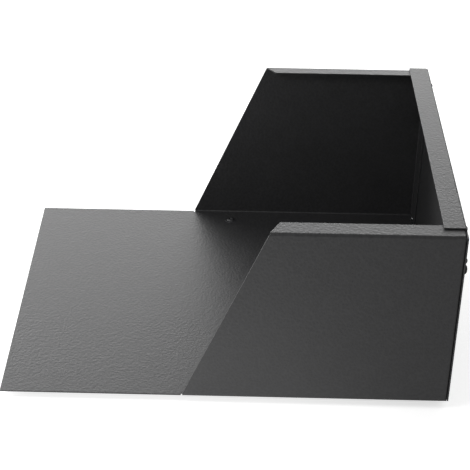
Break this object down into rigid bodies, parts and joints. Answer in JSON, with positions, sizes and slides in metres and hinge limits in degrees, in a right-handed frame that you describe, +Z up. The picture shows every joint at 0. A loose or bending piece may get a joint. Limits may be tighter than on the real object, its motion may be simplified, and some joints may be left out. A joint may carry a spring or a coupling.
{
  "type": "tipping tray of a parcel drop box",
  "caption": "Open folded sheet-metal tray of a parcel drop box, with slanted cheeks, a rear panel, rubber buffers and a long hinge along its bottom rear edge.",
  "frame": {"origin": "on the mounting face under the hinge's fixed leaf, in the middle of its row of fixing holes", "axes": "+X from the free edge of the plate towards the rear panel, +Y across the tray, +Z up from the mounting face"},
  "size_m": [0.4684, 0.37, 0.2126],
  "materials": {
    "coated_sheet": "matt anthracite powder coat with a fine orange peel",
    "black_fixings": "black coated steel, satin",
    "zinc_fixings": "bright zinc",
    "hinge_steel": "zinc-plated rolled steel",
    "rubber": "matt black"
  },
  "bodies": {
    "box_side": {"hinge_box_leaf": "hinge_steel", "hinge_pin": "hinge_steel"},
    "tray": {"tray_pan": "coated_sheet", "rear_panel": "coated_sheet", "low_rivet_right": "black_fixings", "low_rivet_left": "black_fixings", "top_rivet_right": "black_fixings", "top_rivet_left": "black_fixings", "wall_buffer_right": "rubber", "wall_buffer_left": "rubber", "rest_buffer_right": "rubber", "rest_buffer_left": "rubber", "buffer_screw_right": "black_fixings", "buffer_screw_left": "black_fixings", "buffer_washer_right": "zinc_fixings", "buffer_washer_left": "zinc_fixings", "buffer_nut_right": "zinc_fixings", "buffer_nut_left": "zinc_fixings", "hinge_rivets": "zinc_fixings", "hinge_tray_leaf": "hinge_steel"}
  },
  "joints": [
    {"name": "tray_hinge", "type": "hinge", "parent": "box_side", "child": "tray", "pos_m": [0.02, 0, 0.0039], "axis": [0, 1, 0], "range_deg": [0, 55]}
  ]
}
